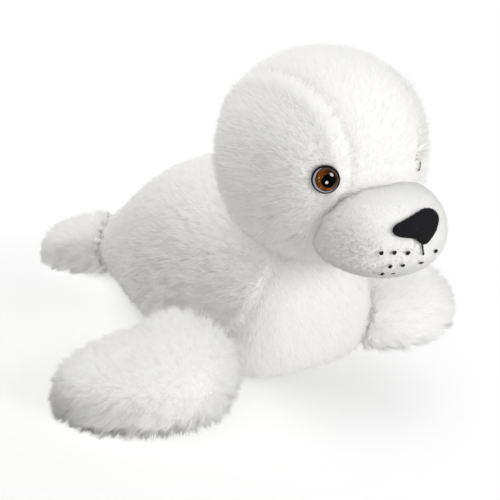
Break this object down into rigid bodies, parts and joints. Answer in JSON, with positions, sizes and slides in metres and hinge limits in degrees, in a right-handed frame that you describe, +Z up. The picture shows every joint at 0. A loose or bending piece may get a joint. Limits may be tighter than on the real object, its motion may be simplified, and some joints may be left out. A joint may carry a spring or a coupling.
{
  "type": "plush seal toy",
  "caption": "Stuffed toy seal lying on its belly, with a large ball-shaped head, a plump muzzle, a black nose, amber eyes and flat flippers spread to its sides.",
  "frame": {"origin": "middle of the whole toy's box seen from above, on the surface it lies on", "axes": "+Z up; the toy faces -Y, so +Y runs towards the hind flippers; +X is the toy's own left"},
  "size_m": [0.2954, 0.3606, 0.2011],
  "materials": {
    "body": "long pile plush",
    "head": "long pile plush",
    "muzzle": "short pile plush",
    "nose": "black flock",
    "front_flipper_right": "shaggy pile plush",
    "front_flipper_left": "shaggy pile plush",
    "hind_flipper_right": "shaggy pile plush",
    "hind_flipper_left": "shaggy pile plush",
    "eye_right": "polished amber over black",
    "eye_left": "polished amber over black",
    "eye_washer_right": "as moulded",
    "eye_washer_left": "as moulded"
  },
  "bodies": {
    "root": {"body": "body", "head": "head", "muzzle": "muzzle", "nose": "nose", "front_flipper_right": "front_flipper_right", "front_flipper_left": "front_flipper_left", "hind_flipper_right": "hind_flipper_right", "hind_flipper_left": "hind_flipper_left", "eye_right": "eye_right", "eye_left": "eye_left", "eye_washer_right": "eye_washer_right", "eye_washer_left": "eye_washer_left"}
  },
  "joints": []
}
